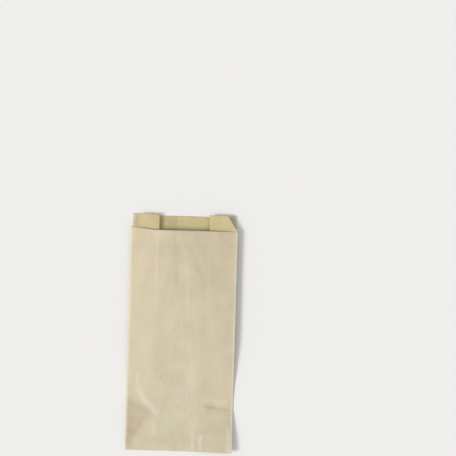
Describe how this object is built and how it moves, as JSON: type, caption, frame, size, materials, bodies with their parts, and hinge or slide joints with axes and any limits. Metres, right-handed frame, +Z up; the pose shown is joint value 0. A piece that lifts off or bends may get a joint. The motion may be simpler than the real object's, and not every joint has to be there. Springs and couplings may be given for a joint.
{
  "type": "paper lunch bag",
  "caption": "Brown kraft paper lunch bag with side gussets and a stepped mouth, lying flat on its back.",
  "frame": {"origin": "on the table, under the middle of the folded bag's bounding box", "axes": "+Y from the bottom fold to the mouth, +Z up through the bag, from its back panel to its front panel"},
  "size_m": [0.1, 0.222, 0.007],
  "materials": {
    "kraft_paper": "satin"
  },
  "bodies": {
    "root": {"folded_bag": "kraft_paper"}
  },
  "joints": []
}
